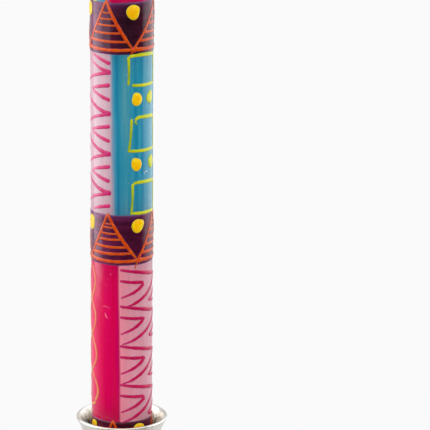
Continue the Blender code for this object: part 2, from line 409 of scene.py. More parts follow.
def coat_material(name, light, deep, brush, streak_mm):
    """Brushed wax. The mesh stores its paint, which is thinned and deepened here in brush strokes."""
    material, tree = new_material(name)
    paint = stored(tree, "paint", "Color")
    streaks = ramped(tree, noise(tree, streak_mm, 4, 0.6, stretch=brush), 0.36, 0.66)
    clouds = ramped(tree, noise(tree, 9, 2), 0.35, 0.7)
    thinned = mixed(tree, 1.0, paint, light, "MULTIPLY")
    deepened = mixed(tree, 1.0, paint, deep, "MULTIPLY")
    colour = mixed(tree, streaks, deepened, thinned)
    colour = mixed(tree, ramped(tree, clouds, 0, 1, 0, 0.3), colour, deepened)
    specks = noise(tree, 0.9, 2, 0.7)
    colour = mixed(tree, ramped(tree, specks, 0.4, 0.66, 0, 0.22), colour, thinned)
    colour = mixed(tree, ramped(tree, specks, 0.73, 0.8, 0, 0.35), colour, (1, 0.9, 0.9, 1))
    rough = ramped(tree, noise(tree, 2.5, 3, stretch=brush), 0.3, 0.7, 0.08, 0.2)
    ridges = bumped(tree, noise(tree, 0.5, 4, 0.6, stretch=brush), 0.012)
    dimples = bumped(tree, noise(tree, 2.2, 2), 0.03, ridges)
    return finished(material, colour, rough, dimples, wax_glow(0.25, (1.0, 0.5, 0.4), 0.4))


def stroke_material(name, deep, thin, pale, dry):
    """A raised stroke: deep and pale patches on its crest, thin edges, and dry where it is narrow."""
    material, tree = new_material(name)
    patches = ramped(tree, noise(tree, 2.6, 3, 0.6), 0.4, 0.68)
    colour = mixed(tree, patches, deep, pale)
    colour = mixed(tree, ramped(tree, stored(tree, "flow"), 0.45, 0.9), dry, colour)
    colour = mixed(tree, ramped(tree, stored(tree, "thin"), 0.1, 1.0, 0, 0.85), colour, thin)
    rough = ramped(tree, noise(tree, 1.2, 2), 0.3, 0.7, 0.16, 0.3)
    grain = bumped(tree, noise(tree, 0.35, 3), 0.02)
    return finished(material, colour, rough, grain, wax_glow(0.3, (1.0, 0.6, 0.3), 0.3))


def white_wax_material():
    material, tree = new_material("white_wax")
    clouds = ramped(tree, noise(tree, 3, 3), 0.35, 0.7)
    colour = mixed(tree, clouds, srgb(238, 228, 212), srgb(222, 208, 190))
    rough = ramped(tree, noise(tree, 1.5, 3), 0.3, 0.7, 0.3, 0.5)
    grain = bumped(tree, noise(tree, 0.8, 4), 0.05)
    return finished(material, colour, rough, grain, wax_glow(0.6, (1.0, 0.7, 0.5), 1.5, ior=1.5))


def cotton_material():
    material, tree = new_material("cotton")
    fibres = noise(tree, 0.12, 5, 0.7, stretch=(1, 1, 0.3))
    colour = mixed(tree, ramped(tree, fibres, 0.35, 0.7), srgb(196, 186, 166), srgb(236, 230, 216))
    return finished(material, colour, 0.75, bumped(tree, fibres, 0.08), {"Sheen Weight": 0.3})


def nickel_material():
    """Polished plate: fine lines from the lathe, a soft haze of handling, and faint warm tarnish."""
    material, tree = new_material("polished_nickel")
    tarnish = ramped(tree, noise(tree, 6, 5, 0.65), 0.45, 0.75)
    colour = mixed(tree, tarnish, srgb(222, 218, 211), srgb(194, 182, 170))
    spots = ramped(tree, noise(tree, 1.6, 4, 0.6), 0.58, 0.72, 0, 0.32)
    colour = mixed(tree, spots, colour, srgb(122, 100, 88))
    # Darker blotches on the cup's inner wall, most of them a few millimetres under the flare.
    inner_dark = stored(tree, "inner_dark")
    dark_blotches = ramped(tree, noise(tree, 2.2, 5, 0.65), 0.47, 0.57, 0.0, 0.95)
    blotched = node(tree, "Math", {0: inner_dark, 1: dark_blotches}, operation="MULTIPLY").outputs[0]
    colour = mixed(tree, blotched, colour, srgb(92, 72, 70))
    haze = ramped(tree, noise(tree, 4, 5, 0.7), 0.35, 0.75, 0.16, 0.34)
    rough = node(tree, "Math", {0: inner_dark, 1: 0.25, 2: haze}, operation="MULTIPLY_ADD").outputs[0]
    lathe_lines = bumped(tree, noise(tree, 0.22, 3, stretch=LATHED), 0.006)
    knocks = bumped(tree, noise(tree, 3.5, 2), 0.05, lathe_lines)
    return finished(material, colour, rough, knocks, {"Metallic": 1.0})


def iron_material():
    material, tree = new_material("cast_iron")
    grain = noise(tree, 0.7, 6, 0.7)
    rust = ramped(tree, noise(tree, 7, 4), 0.5, 0.75, 0, 0.5)
    colour = mixed(tree, ramped(tree, grain, 0.35, 0.7), srgb(52, 52, 56), srgb(84, 82, 82))
    colour = mixed(tree, rust, colour, srgb(104, 62, 40))
    return finished(material, colour, 0.65, bumped(tree, grain, 0.2), {"Metallic": 0.7})


def steel_material():
    material, tree = new_material("zinc_steel")
    patches = ramped(tree, noise(tree, 2, 4), 0.35, 0.7)
    colour = mixed(tree, patches, srgb(178, 182, 190), srgb(200, 196, 176))
    tool_lines = noise(tree, 0.3, 4, stretch=(0.1, 0.1, 1))
    rough = ramped(tree, tool_lines, 0.3, 0.7, 0.22, 0.4)
    return finished(material, colour, rough, bumped(tree, tool_lines, 0.02), {"Metallic": 1.0})


def felt_material():
    material, tree = new_material("felt")
    fibres = noise(tree, 0.25, 6, 0.75)
    blotches = ramped(tree, noise(tree, 5, 3), 0.4, 0.7)
    colour = mixed(tree, ramped(tree, fibres, 0.35, 0.68), srgb(26, 44, 36), srgb(60, 84, 70))
    colour = mixed(tree, ramped(tree, blotches, 0, 1, 0, 0.3), colour, srgb(40, 60, 50))
    sheen = {"Sheen Weight": 0.5, "Sheen Roughness": 0.5}
    return finished(material, colour, 0.95, bumped(tree, fibres, 0.25), sheen)


# Screen colours of the wax coats, which the painter mixed afresh for some tiers and bands.
PAINT = {
    "purple": (44, 12, 27),
    "teal": (44, 144, 173),
    "magenta": (212, 0, 82),
    "pink": (205, 150, 163),
}
MIXES = {
    ("mid", "pink"): (197, 165, 178),
    ("lower", "purple"): (70, 12, 44),
    ("foot", "purple"): (54, 3, 15),
}
# VIOLET is the bands' thinned paint at their edges, and also a painted sheen towards the left front. PLUM is
# a painted sheen on the bands' sides.
VIOLET = (128, 62, 128)
PLUM = (118, 22, 66)
BLEED = (240, 138, 158)
# How thin and deep coats differ from their paint, the way the brush went, and its streaks' width in mm.
COATS = {
    "purple": ((1.35, 1.3, 1.3, 1), (0.65, 0.6, 0.65, 1), ROUND, 1.6),
    "teal": ((1.4, 1.08, 1.06, 1), (0.6, 0.93, 0.95, 1), ALONG, 1.5),
    "magenta": ((1.03, 1.0, 1.08, 1), (0.94, 0.9, 0.92, 1), ALONG, 2.2),
    "pink": ((1.04, 1.06, 1.06, 1), (0.96, 0.92, 0.93, 1), ALONG, 1.3),
}
# Screen colours of the raised strokes: deep, at thin edges, in pale patches, and where the stroke ran dry.
STROKES = {
    "orange_stroke": ((204, 64, 0), (146, 46, 2), (216, 86, 4), (190, 72, 8)),
    "yellow_dot": ((248, 186, 0), (204, 200, 10), (250, 208, 0), (248, 194, 0)),
    "yellow_stroke": ((208, 208, 12), (108, 154, 44), (190, 198, 24), (114, 156, 30)),
    "chain_stroke": ((214, 138, 70), (214, 84, 84), (206, 120, 76), (214, 110, 84)),
    "magenta_stroke": ((190, 0, 80), (160, 0, 68), (184, 0, 80), (196, 42, 110)),
    "rose_stroke": ((196, 28, 104), (178, 12, 86), (204, 40, 114), (222, 106, 156)),
    "scuff_low": ((240, 150, 176), (232, 90, 130), (236, 120, 150), (236, 110, 140)),
    "scuff_mid": ((196, 204, 226), (130, 180, 204), (180, 190, 220), (168, 188, 214)),
}


def paint_of(part, colour):
    return MIXES.get((part, colour), PAINT[colour])


def make_materials():
    materials = {key: coat_material(key + "_wax", *settings) for key, settings in COATS.items()}
    for key, colours in STROKES.items():
        materials[key] = stroke_material(key + "_wax", *(srgb(*colour) for colour in colours))
    return materials | {
        "white_wax": white_wax_material(),
        "cotton": cotton_material(),
        "nickel": nickel_material(),
        "iron": iron_material(),
        "steel": steel_material(),
        "felt": felt_material(),
    }


# ---- coats of wax

GRID = 0.35 * MM


def shell_faces(columns, rows, closed):
    """Faces of a shell: its outer grid, then its inner bottom row and top row. closed goes right round."""
    inner_low = columns * rows
    inner_high = inner_low + columns
    faces = []
    for column in range(columns if closed else columns - 1):
        following = (column + 1) % columns
        for row in range(rows - 1):
            low, high = row * columns, (row + 1) * columns
            faces.append((low + column, low + following, high + following, high + column))
        top = (rows - 1) * columns
        faces.append((inner_low + column, inner_low + following, following, column))
        faces.append((top + column, top + following, inner_high + following, inner_high + column))
        faces.append((inner_high + column, inner_high + following, inner_low + following, inner_low + column))
    if not closed:
        for column in (0, columns - 1):
            side = [row * columns + column for row in range(rows)]
            faces.append(tuple([*side, inner_high + column, inner_low + column]))
    return faces


def coat(name, angles, heights, closed, paint, material):
    """A closed shell between core and painted surface. angles and heights are grids, rows going up."""
    rows, columns = angles.shape
    outer = on_candle(angles, heights).reshape(-1, 3)
    edges = []
    for turn, height in ((angles[0], heights[0]), (angles[-1], heights[-1])):
        radius = candle_radius(height) - COAT
        edges.append(np.stack([radius * np.sin(turn), -radius * np.cos(turn), height], axis=-1))
    places = np.vstack([outer, *edges])
    mesh = new_mesh(name, places, shell_faces(columns, rows, closed))
    paint = np.vstack([paint.reshape(-1, 4), paint[0], paint[-1]])
    store(mesh, "paint", "FLOAT_COLOR", paint)
    return add_piece(name, mesh, material, "candle")


def painted(shape, colour):
    return np.broadcast_to(np.array(srgb(*colour)), (*shape, 4)).copy()


def blend_in(paint, colour, share):
    """Lets another screen colour show through where share is above 0."""
    paint[:] = paint * (1 - share[..., None]) + np.array(srgb(*colour)) * share[..., None]


def make_band(band, materials):
    """A band, its paint thinning to violet at its edges, with painted sheen: redder plum towards its sides
    and violet towards the left front.
    """
    columns = round(2 * math.pi * MEAN_RADIUS / GRID)
    angle = np.linspace(0, 2 * math.pi, columns, endpoint=False)
    bottom, top = band_edges(band, angle)
    rows = round((top - bottom).max() / GRID)
    share = np.linspace(0, 1, rows)[:, None]
    heights = bottom + share * (top - bottom)
    angles = np.broadcast_to(angle, heights.shape)
    paint = painted(heights.shape, paint_of(band, "purple"))
    # Painted sheen: redder plum towards the band's left and right sides, none at its front and back.
    blend_in(paint, PLUM, 0.35 * (1 - np.cos(2 * (angles - math.radians(12)))) + 0 * heights)
    thin = 0.1 if band == "foot" else 1
    # Painted sheen: violet towards the left front, where the left front softbox would shine on the wax,
    # weakest on the foot band.
    blend_in(paint, VIOLET, 0.2 * thin * np.exp(5 * (np.cos(angles + math.radians(55)) - 1)) + 0 * heights)
    blend_in(paint, VIOLET, 0.5 * np.exp(-(heights - bottom) / (0.35 * MM)))
    blend_in(paint, VIOLET, 0.55 * thin * np.exp(-(top - heights) / (0.9 * MM)))
    piece = coat("coat_band_" + band, angles, heights, True, paint, materials["purple"])
    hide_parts("band_" + band)


# Brush marks up each panel: (degrees from the panel's left edge, half width in degrees, colour, strength).
BRUSH_MARKS = {
    "teal": (
        (2, 4.0, (120, 150, 185), 0.4),
        (10.5, 3.0, (0, 116, 156), 0.8),
        (25, 8.0, (90, 158, 170), 0.7),
        (45, 3.0, (8, 124, 158), 0.7),
        (52, 2.5, (70, 160, 180), 0.4),
        (59, 2.5, (0, 118, 162), 0.8),
        (80, 9.0, (92, 160, 178), 0.4),
        (99, 3.0, (0, 120, 160), 0.7),
        (110, 4.0, (80, 155, 180), 0.4),
    ),
    "magenta": (
        (30, 6.0, (255, 24, 104), 0.4),
        (60, 8.0, (240, 16, 96), 0.4),
        (84, 3.0, (214, 0, 66), 0.5),
        (108, 3.5, (204, 0, 62), 0.6),
        (117, 2.5, (194, 0, 104), 0.7),
    ),
    "pink": (
        (30, 6.0, (226, 164, 182), 0.3),
        (70, 8.0, (214, 170, 188), 0.3),
        (104, 5.0, (232, 190, 200), 0.3),
    ),
}


def panel_edge(tier, start, share, phase):
    """The angle in radians of an upright colour edge, which leans and wavers. share goes 0 to 1 up it."""
    lean = EDGE_SLANT[tier] * (0.5 - share)
    waver = 0.4 * np.sin(7 * share + phase) + 0.2 * np.sin(17 * share + 2 * phase)
    return np.radians(start + lean + waver)


def make_panel(tier, index, materials):
    """A panel between two colour edges, whose paint runs a little into its neighbours' at the edges."""
    colour = COLOURS[index]
    start = TEAL_STARTS[tier] + index * PANEL_SWEEP
    below, above = BANDS[TIERS.index(tier)], BANDS[TIERS.index(tier) + 1]
    low, high = tier_span(tier)
    rows = round((high - low) / GRID)
    columns = round(math.radians(PANEL_SWEEP) * MEAN_RADIUS / GRID)
    up = np.linspace(0, 1, rows)[:, None]
    across = np.linspace(0, 1, columns)[None, :]
    phases = [TIERS.index(tier) + turn % len(COLOURS) for turn in (index, index + 1)]
    left = panel_edge(tier, start, up, 2.4 * phases[0])
    right = panel_edge(tier, start + PANEL_SWEEP, up, 2.4 * phases[1])
    angles = left + across * (right - left)
    bottom = band_edges(below, angles)[1]
    top = band_edges(above, angles)[0]
    heights = bottom + up * (top - bottom)
    paint = painted(heights.shape, paint_of(tier, colour))
    for offset, half_width, mark, strength in BRUSH_MARKS[colour]:
        away = (np.degrees(angles - left) - offset + 0.8 * np.sin(heights / (7 * MM))) / half_width
        fade = 0.75 + 0.25 * np.sin(heights / (9 * MM) + offset)
        blend_in(paint, mark, strength * fade * np.exp(-(away**2)))
    blend_in(paint, paint_of(above, "purple"), 0.2 * np.exp(-(top - heights) / (5 * MM)))
    blend_in(paint, paint_of(below, "purple"), 0.28 * np.exp(-(heights - bottom) / (6 * MM)))
    if colour == "pink":
        blend_in(paint, BLEED, 0.85 * np.exp(-(angles - left) * MEAN_RADIUS / (5 * MM)))
    softness = {"low": 0.2, "mid": 1.1, "high": 0.4}[tier] * MM
    for neighbour, distance in ((index - 1, angles - left), (index + 1, right - angles)):
        share = np.clip(0.5 - distance * MEAN_RADIUS / softness, 0, 0.5)
        blend_in(paint, paint_of(tier, COLOURS[neighbour % len(COLOURS)]), share)
    name = f"panel_{tier}_{colour}"
    piece = coat("coat_" + name, angles, heights, False, paint, materials[colour])
    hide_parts(name)


# ---- painted patterns

BASE_LINE = 2.0
BOW = 3.5

# Each band's four triangles: the angles of the corners between them and of their tips, how high the tips are,
# and the heights of the lines inside.
TRIANGLES = {
    "foot": ((-66, 33, 122, 208), (-17, 77, 165, 251), 19.6, (15.0, 12.7, 10.4, 8.0, 5.4)),
    "lower": ((-72, 30, 120, 205), (-27, 73, 163, 247), 18.9, (15.3, 14.0, 11.9, 9.7, 7.2, 4.6)),
    "upper": ((-79, 20, 118, 200), (-29, 79, 158, 240), 19.0, (14.8, 12.6, 10.5, 7.7, 5.0)),
    "top": ((-95, -5, 84, 176), (-50, 38, 130, 222), 17.6, (13.9, 11.6, 9.4, 7.2, 4.8)),
}
DOT_HEIGHT = {"foot": 15.6, "lower": 14.4, "upper": 15.0, "top": 14.2}


def make_band_pattern(band, materials):
    corners, tips, peak, lines = TRIANGLES[band]
    floor = band_span(band)[0]
    orange = Heap()
    yellow = Heap()
    levels = np.linspace(BASE_LINE, peak, 5)

    def leg(corner, tip, height):
        """Where a triangle's side is at this height. The sides bow inwards."""
        share = (height - BASE_LINE) / (peak - BASE_LINE)
        return corner + share * (tip - corner) + math.copysign(BOW, tip - corner) * math.sin(math.pi * share)

    for turn, (corner, tip) in enumerate(zip(corners, tips)):
        following = corners[turn + 1] if turn + 1 < len(corners) else corners[0] + 360
        left = [(leg(corner, tip, level), level) for level in levels]
        right = [(leg(following, tip, level), level) for level in levels]
        stroke(orange, left, (1.0, 1.05, 1.0, 0.85), floor)
        stroke(orange, right[::-1], (0.95, 1.25, 1.35, 1.25, 0.7), floor)
        for count, line in enumerate(lines):
            ends = (leg(corner, tip, line), leg(following, tip, line))
            droop = 0.3 * math.sin(3 * count + turn)
            middle = ((ends[0] + ends[1]) / 2, line - 0.12 + droop / 2)
            points = [(ends[0] + 1, line), middle, (ends[1], line + droop)]
            width = 0.62 + 0.1 * count
            stroke(orange, points, (width + 0.12, width, 0.9 * width), floor)
        base = [(corner + 3, BASE_LINE + 0.1), ((corner + following) / 2, BASE_LINE - 0.15)]
        base.append((following - 2, BASE_LINE))
        stroke(orange, base, (1.6, 1.25, 1.25, 1.2), floor)
        tail_end = 0.5 if band == "foot" else -0.5 - 0.5 * (turn % 2)
        tail = [(corner + 2, BASE_LINE), (corner - 2, 0.9), (corner - 5, tail_end)]
        stroke(orange, tail, (0.9, 0.6, 0.45), floor)
        dot(orange, corner + 3, BASE_LINE + 0.1, floor, 2.6, 1.9, 0.2)
        size = 1 + 0.06 * math.sin(5 * turn + len(lines))
        tilt, peak_turn = -0.25 + 0.1 * turn, 1.1 - 0.5 * (turn % 2)
        dot(yellow, corner + 0.5, DOT_HEIGHT[band], floor, 5.0 * size, 5.4 * size, tilt, peak_turn)
    orange.build("triangles_" + band, materials["orange_stroke"])
    yellow.build("dots_" + band, materials["yellow_dot"])


# The chains, in mm and degrees. The first oval is widest at WIDEST, and the swing is half an oval's width.
CHAIN_MIDDLE = 51
CHAIN_TOP = 57.0
CHAIN_FOOT = 7.4
WIDEST = 51.4
OVAL = 13.2
SWING = 14
SWING_GROWTH = 13


def make_chain(tier, start, materials):
    """Two thin wavy lines that cross, as a chain of ovals down a magenta panel. It widens downwards."""
    heap = Heap()
    floor = tier_span(tier)[0]
    middle = start + CHAIN_MIDDLE
    for side in (1, -1):
        points = []
        for height in np.arange(CHAIN_TOP, CHAIN_FOOT, -OVAL / 8):
            phase = math.pi * (height - WIDEST) / OVAL
            swing = SWING + SWING_GROWTH * ((CHAIN_TOP - height) / CHAIN_TOP) ** 2
            points.append((middle + side * swing * math.cos(phase), height))
        stroke(heap, points, (0.9, 1.1, 0.95, 1.1, 0.95, 1.2), floor, FINE_RISE)
    half_width = abs(points[-1][0] - middle)
    turns = np.linspace(-math.pi / 2, math.pi / 2, 7)
    end = [(middle + half_width * math.sin(turn), CHAIN_FOOT - 1.5 * math.cos(turn)) for turn in turns]
    stroke(heap, end, (1.2, 1.3, 1.2), floor, FINE_RISE)
    heap.build(f"chain_{tier}", materials["chain_stroke"])


# Each square: the heights of its top and bottom, then the angles of its left side's top and bottom and of its
# right side, from the panel's edge. Each row of dots: its height and the dots' angles.
SQUARES = ((56.5, 46.4, 30, 30, 94), (34.7, 23.4, 36, 31, 95), (11.7, 1.2, 38, 36, 96))
DOT_ROWS = ((41.3, 47, 80), (18.4, 46, 84))


def make_squares(tier, start, materials):
    """Three squares up a teal panel, their corners not quite met, with a pair of dots between each two."""
    heap = Heap()
    dots = Heap()
    floor = tier_span(tier)[0]
    for turn, (top, bottom, left_top, left_bottom, right) in enumerate(SQUARES):
        left = [(start + left_top, top), (start + (left_top + left_bottom) / 2 + 1, (top + bottom) / 2)]
        left.append((start + left_bottom, bottom))
        stroke(heap, left, (1.15, 1.0, 0.85, 1.0), floor)
        over = [(start + left_top + 1, top), (start + 55, top + 0.3), (start + right, top - 0.2)]
        if turn == 1:
            over[0] = (start + 43, top - 0.8)
            over.insert(1, (start + 46, top - 0.1))
            hook = [(start + 48, top - 2.1), (start + 44, top - 1.6), (start + 43, top - 0.8)]
            stroke(heap, hook, (0.7, 0.8, 1.0), floor)
        stroke(heap, over, (1.1, 1.3, 1.5, 1.4), floor)
        foot = left_bottom - 3 + 9 * (turn == 0)
        under = [(start + foot, bottom), (start + 60, bottom - 0.3), (start + right + 1, bottom - 0.4)]
        stroke(heap, under, (1.0, 1.2, 1.3, 1.2), floor)
        side = [(start + right, top - 0.2), (start + right + 2, (top + bottom) / 2), under[-1]]
        stroke(heap, side, (1.2, 1.0, 1.0), floor)
    for height, *angles in DOT_ROWS:
        for count, angle in enumerate(angles):
            dot((dots, heap)[count], start + angle, height, floor, 4.3, 4.5, 0.1 + 0.3 * count, 2.0 - count)
    heap.build(f"squares_{tier}", materials["yellow_stroke"])
    dots.build(f"square_dots_{tier}", materials["yellow_dot"])


# One step of a zigzag. Each stroke has points, in degrees from the panel's edge and mm above the corner, and
# widths.
EVEN_STEP = (
    (((2, 0), (24, 0.9), (42, 2.3), (60, 3.7), (103, 7.2)), (1.5, 1.4, 1.05, 0.7, 0.4)),
    (((2, 0), (24, -0.9), (42, -2.0), (60, -3.5), (103, -7.0)), (1.4, 1.2, 0.9, 0.65, 0.4)),
    (((3.5, -4.4), (28, -5.4), (50, -6.7)), (1.5, 1.3, 0.6)),
    (((51, -6.9), (30, -8.3), (4, -9.8)), (0.7, 1.2, 1.5)),
    (((72, 0), (92, 1.2), (117, 2.8)), (0.7, 1.1, 1.4)),
    (((72, 0), (92, -1.2), (117, -2.8)), (0.7, 1.1, 1.4)),
)
EVEN_CORNERS = (65.2, 50.9, 36.4, 22.2, 8.3, -6.0)
FIRST_STROKE = (((3, 53.8), (16, 54.7), (30, 55.6), (46, 56.6)), (1.4, 1.3, 1.1, 0.8))
SLANTED_STEP = (
    (((0, 0), (40, -1.4), (80, -3.1), (98, -3.9)), (0.9, 1.3, 1.5, 1.3)),
    (((98, -3.9), (82, -5.9), (56, -9.6), (26, -12.6), (4, -14.0)), (0.9, 1.1, 1.3, 1.2, 0.5)),
    (((0, -4.0), (25, -4.7), (44, -5.1), (51, -5.8)), (0.9, 1.2, 1.3, 1.4)),
    (((51, -5.7), (30, -8.2), (2, -10.3)), (1.5, 1.2, 0.6)),
    (((64, -12.2), (84, -10.4), (114, -7.9)), (1.1, 1.1, 0.8)),
    (((64, -12.2), (86, -13.0), (114, -14.0)), (1.1, 1.1, 0.8)),
)
SLANTED_CORNERS = (57.0, 43.8, 29.3, 15.1, 1.4)


def make_zigzag(tier, edge, inwards, step, corners, material):
    """Nested zigzags: the same strokes at each corner along one edge of the panel, kept inside the panel."""
    heap = Heap()
    low, high = tier_span(tier)
    tallest = (high - low) / MM
    for count, corner in enumerate(corners):
        for number, (points, widths) in enumerate(step):
            reach = 1 + 0.05 * math.sin(5 * count + 2 * number)
            placed = [(edge + inwards * angle * reach, corner + height) for angle, height in points]
            kept = [point for point in placed if 0.9 <= point[1] <= tallest - 0.3]
            if len(kept) > 1:
                stroke(heap, kept, widths, low)
    if step is EVEN_STEP:
        points, widths = FIRST_STROKE
        stroke(heap, [(edge + inwards * angle, height) for angle, height in points], widths, low)
    heap.build(f"zigzag_{tier}", material)


# Small knocks that whitened the wax, in each tier that has them: points in (degrees, mm) and widths.
SCUFFS = {
    "low": (
        (((-22, 55.3), (-20, 55.1)), (0.35, 0.5, 0.3)),
        (((-39, 43.1), (-31, 43.3), (-22, 42.8)), (0.12, 0.2, 0.12)),
        (((-33, 41.0), (-31, 39.9), (-27, 39.0)), (0.3, 0.55, 0.5, 0.25)),
        (((-35, 31.3), (-34, 31.1)), (0.25, 0.3)),
    ),
    "mid": (
        (((44, 14.6), (49, 15.4), (54, 15.2)), (0.3, 0.5, 0.7, 0.4)),
        (((45, 15.0), (46, 14.2)), (0.35, 0.3)),
        (((9, 50.6), (9.4, 49.8)), (0.25, 0.3)),
    ),
}


def make_scuffs(materials):
    for tier, marks in SCUFFS.items():
        heap = Heap()
        for points, widths in marks:
            stroke(heap, points, widths, tier_span(tier)[0], 0.1)
        heap.build(f"scuffs_{tier}", materials[f"scuff_{tier}"])


def make_patterns(materials):
    for band in BANDS:
        make_band_pattern(band, materials)
    for tier in TIERS:
        teal = TEAL_STARTS[tier]
        magenta = teal + PANEL_SWEEP
        pink = magenta + PANEL_SWEEP
        make_squares(tier, teal, materials)
        make_chain(tier, magenta, materials)
        if tier == "low":
            make_zigzag(tier, pink, 1, SLANTED_STEP, SLANTED_CORNERS, materials["magenta_stroke"])
        else:
            make_zigzag(tier, pink + PANEL_SWEEP, -1, EVEN_STEP, EVEN_CORNERS, materials["rose_stroke"])
    make_scuffs(materials)


# ---- core and wick

# The candle's top, from its edge to its wick: (share of the radius, mm under the top).
TOP_EDGE = ((1, 1.3), (0.985, 0.7), (0.95, 0.25), (0.88, 0.02))
TOP_OUTLINE = (*TOP_EDGE, (0.7, 0.05), (0.5, 0.3), (0.3, 0.75), (0.16, 0.9))
STRANDS = 3
TWIST = 4.5 * MM
STRAND_END = 0.25 * MM


def make_core(materials):
    """Plain wax up to the inside of the coats, with a worn edge and a shallow dish on top."""
    outer = TOP_RADIUS - COAT + HALF_GAP / 3
    bore = -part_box("wick")[0].x
    outline = [(bore, FOOT), (FOOT_RADIUS - COAT + HALF_GAP / 3, FOOT)]
    outline += [(outer * share, TOP - drop * MM) for share, drop in TOP_OUTLINE]
    outline += [(bore, TOP - TOP_OUTLINE[-1][1] * MM)]
    piece = lathe("white_core", outline, materials["white_wax"], "candle", "white_wax", 1.2 * MM, 120)
    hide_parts("wax_core")


def tube(path, radius, sides):
    """A closed tube along these points, narrowing to a blunt tip, as places and faces."""
    places = []
    for index, point in enumerate(path):
        ahead = path[min(index + 1, len(path) - 1)] - path[max(index - 1, 0)]
        frame_turn = ahead.to_track_quat("Z", "X")
        width = radius * min(1, 0.45 + 0.3 * (len(path) - 1 - index))
        for side in range(sides):
            turn = 2 * math.pi * side / sides
            places.append(point + frame_turn @ Vector((width * math.cos(turn), width * math.sin(turn), 0)))
    return places, sleeve_faces(len(path), sides)


def make_wick(materials):
    """A cord through the whole candle. Its free end shows three twisted strands and leans over."""
    low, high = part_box("wick")
    radius = -low.x
    lean = high.x - radius
    hidden_to = TOP - 1.5 * MM

    def middle(height):
        share = max(0, (height - TOP) / (high.z - TOP))
        return Vector((lean * share * share, 0, height))

    places, faces = tube([middle(low.z), middle(hidden_to)], radius, 16)
    for strand in range(STRANDS):
        path = []
        for height in np.linspace(hidden_to - TWIST / 4, high.z - STRAND_END, 60):
            turn = 2 * math.pi * (strand / STRANDS + height / TWIST)
            aside = Vector((math.cos(turn), math.sin(turn), 0)) * radius * 0.52
            path.append(middle(height) + aside)
        more_places, more_faces = tube(path, radius * 0.46, 12)
        faces += [tuple(len(places) + index for index in face) for face in more_faces]
        places += more_places
    mesh = new_mesh("twisted_wick", places, faces)
    piece = add_piece("twisted_wick", mesh, materials["cotton"], "candle")
    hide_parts("wick")


# ---- holder

SHARP_TURN = math.radians(28)
EDGE_BREAK = 0.18 * MM


def profile_of(name):
    """A turned node's closed outline as (radius, height) corners, read from its front half plane."""
    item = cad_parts[name]
    tolerance = 1e-6
    crossing = {}
    for vertex in item.data.vertices:
        place = item.matrix_world @ vertex.co
        if abs(place.x) < tolerance and place.y < tolerance:
            crossing[vertex.index] = (round(-place.y, 6), round(place.z, 6))
    linked = {}
    for edge in item.data.edges:
        first, second = (crossing.get(index) for index in edge.vertices)
        if first and second and first != second:
            linked.setdefault(first, set()).add(second)
            linked.setdefault(second, set()).add(first)
    ends = [place for place, others in linked.items() if len(others) == 1]
    outline = [min(ends or linked)]
    while True:
        onwards = [place for place in sorted(linked[outline[-1]]) if place not in outline]
        if not onwards:
            return outline
        outline.append(onwards[-1])


def with_broken_edges(outline):
    """Swaps each sharp corner of a closed outline for two points a little way along its sides."""
    corners = [np.array(corner) for corner in outline]
    eased = []
    for before, corner, after in zip(corners[-1:] + corners[:-1], corners, corners[1:] + corners[:1]):
        arriving, leaving = corner - before, after - corner
        lengths = np.linalg.norm(arriving), np.linalg.norm(leaving)
        turn = math.acos(np.clip(arriving @ leaving / (lengths[0] * lengths[1]), -1, 1))
        if turn < SHARP_TURN:
            eased.append(corner)
            continue
        reach = min(EDGE_BREAK, 0.3 * lengths[0], 0.3 * lengths[1])
        eased += [corner - arriving * reach / lengths[0], corner + leaving * reach / lengths[1]]
    return eased


def smooth_outline(outline, step):
    """A finer closed outline through the same corners, with its edges broken and its curves smooth."""
    corners = with_broken_edges(outline)
    count = len(corners)
    fine = []
    for index in range(count):
        before, start, end, after = (corners[(index + shift) % count] for shift in (-1, 0, 1, 2))
        length = np.linalg.norm(end - start)
        leaving = (end - before) / (length + np.linalg.norm(start - before)) * length
        arriving = (after - start) / (length + np.linalg.norm(after - end)) * length
        steps = max(2, round(length / step))
        for t in np.arange(steps) / steps:
            shares = (2 * t**3 - 3 * t**2 + 1, t**3 - 2 * t**2 + t, 3 * t**2 - 2 * t**3, t**3 - t**2)
            fine.append(shares[0] * start + shares[1] * leaving + shares[2] * end + shares[3] * arriving)
    return np.array(fine)


def lathe(name, outline, material, body, slot, step, turns, dents=0.0):
    """A fine turned solid. dents is how many metres handling has pushed the sheet about."""
    fine = np.clip(smooth_outline(outline, step), np.min(outline, axis=0), np.max(outline, axis=0) - dents)
    angle = np.linspace(0, 2 * math.pi, turns, endpoint=False)[:, None]
    radius, height = fine[:, 0][None, :], fine[:, 1][None, :]
    swing = np.sin(2 * angle + 0.6) + 0.7 * np.sin(3 * angle + height / (2.1 * MM))
    swing = swing + 0.5 * np.sin(7 * angle - height / (1.3 * MM) + 1.0)
    radius = radius + dents * swing / 2.2 * np.ones_like(height)
    places = np.stack([radius * np.sin(angle), -radius * np.cos(angle), height + 0 * angle], axis=-1)
    count = len(fine)
    faces = []
    for turn in range(turns):
        here, there = turn * count, (turn + 1) % turns * count
        for row in range(count):
            following = (row + 1) % count
            faces.append((here + row, there + row, there + following, here + following))
    return add_piece(name, new_mesh(name, places.reshape(-1, 3), faces), material, body)


# How dark the cup's inner wall is made: (depth under the rim, share).
INNER_DARKENING = ((0, 0), (2.5 * MM, 0.4), (5 * MM, 1), (9 * MM, 0.5), (18 * MM, 0.35))


def darken_inner_wall(cup):
    """Marks where the cup's inner wall is darkened in blotches, most of it just under the flare."""
    count = len(cup.data.vertices)
    places, normals = np.empty(3 * count), np.empty(3 * count)
    cup.data.vertices.foreach_get("co", places)
    cup.data.vertices.foreach_get("normal", normals)
    places, normals = places.reshape(-1, 3), normals.reshape(-1, 3)
    inwards = (places[:, :2] * normals[:, :2]).sum(axis=1) < 0
    depths, shares = zip(*INNER_DARKENING)
    share = np.interp(RIM - places[:, 2], depths, shares)
    store(cup.data, "inner_dark", "FLOAT", inwards * share)


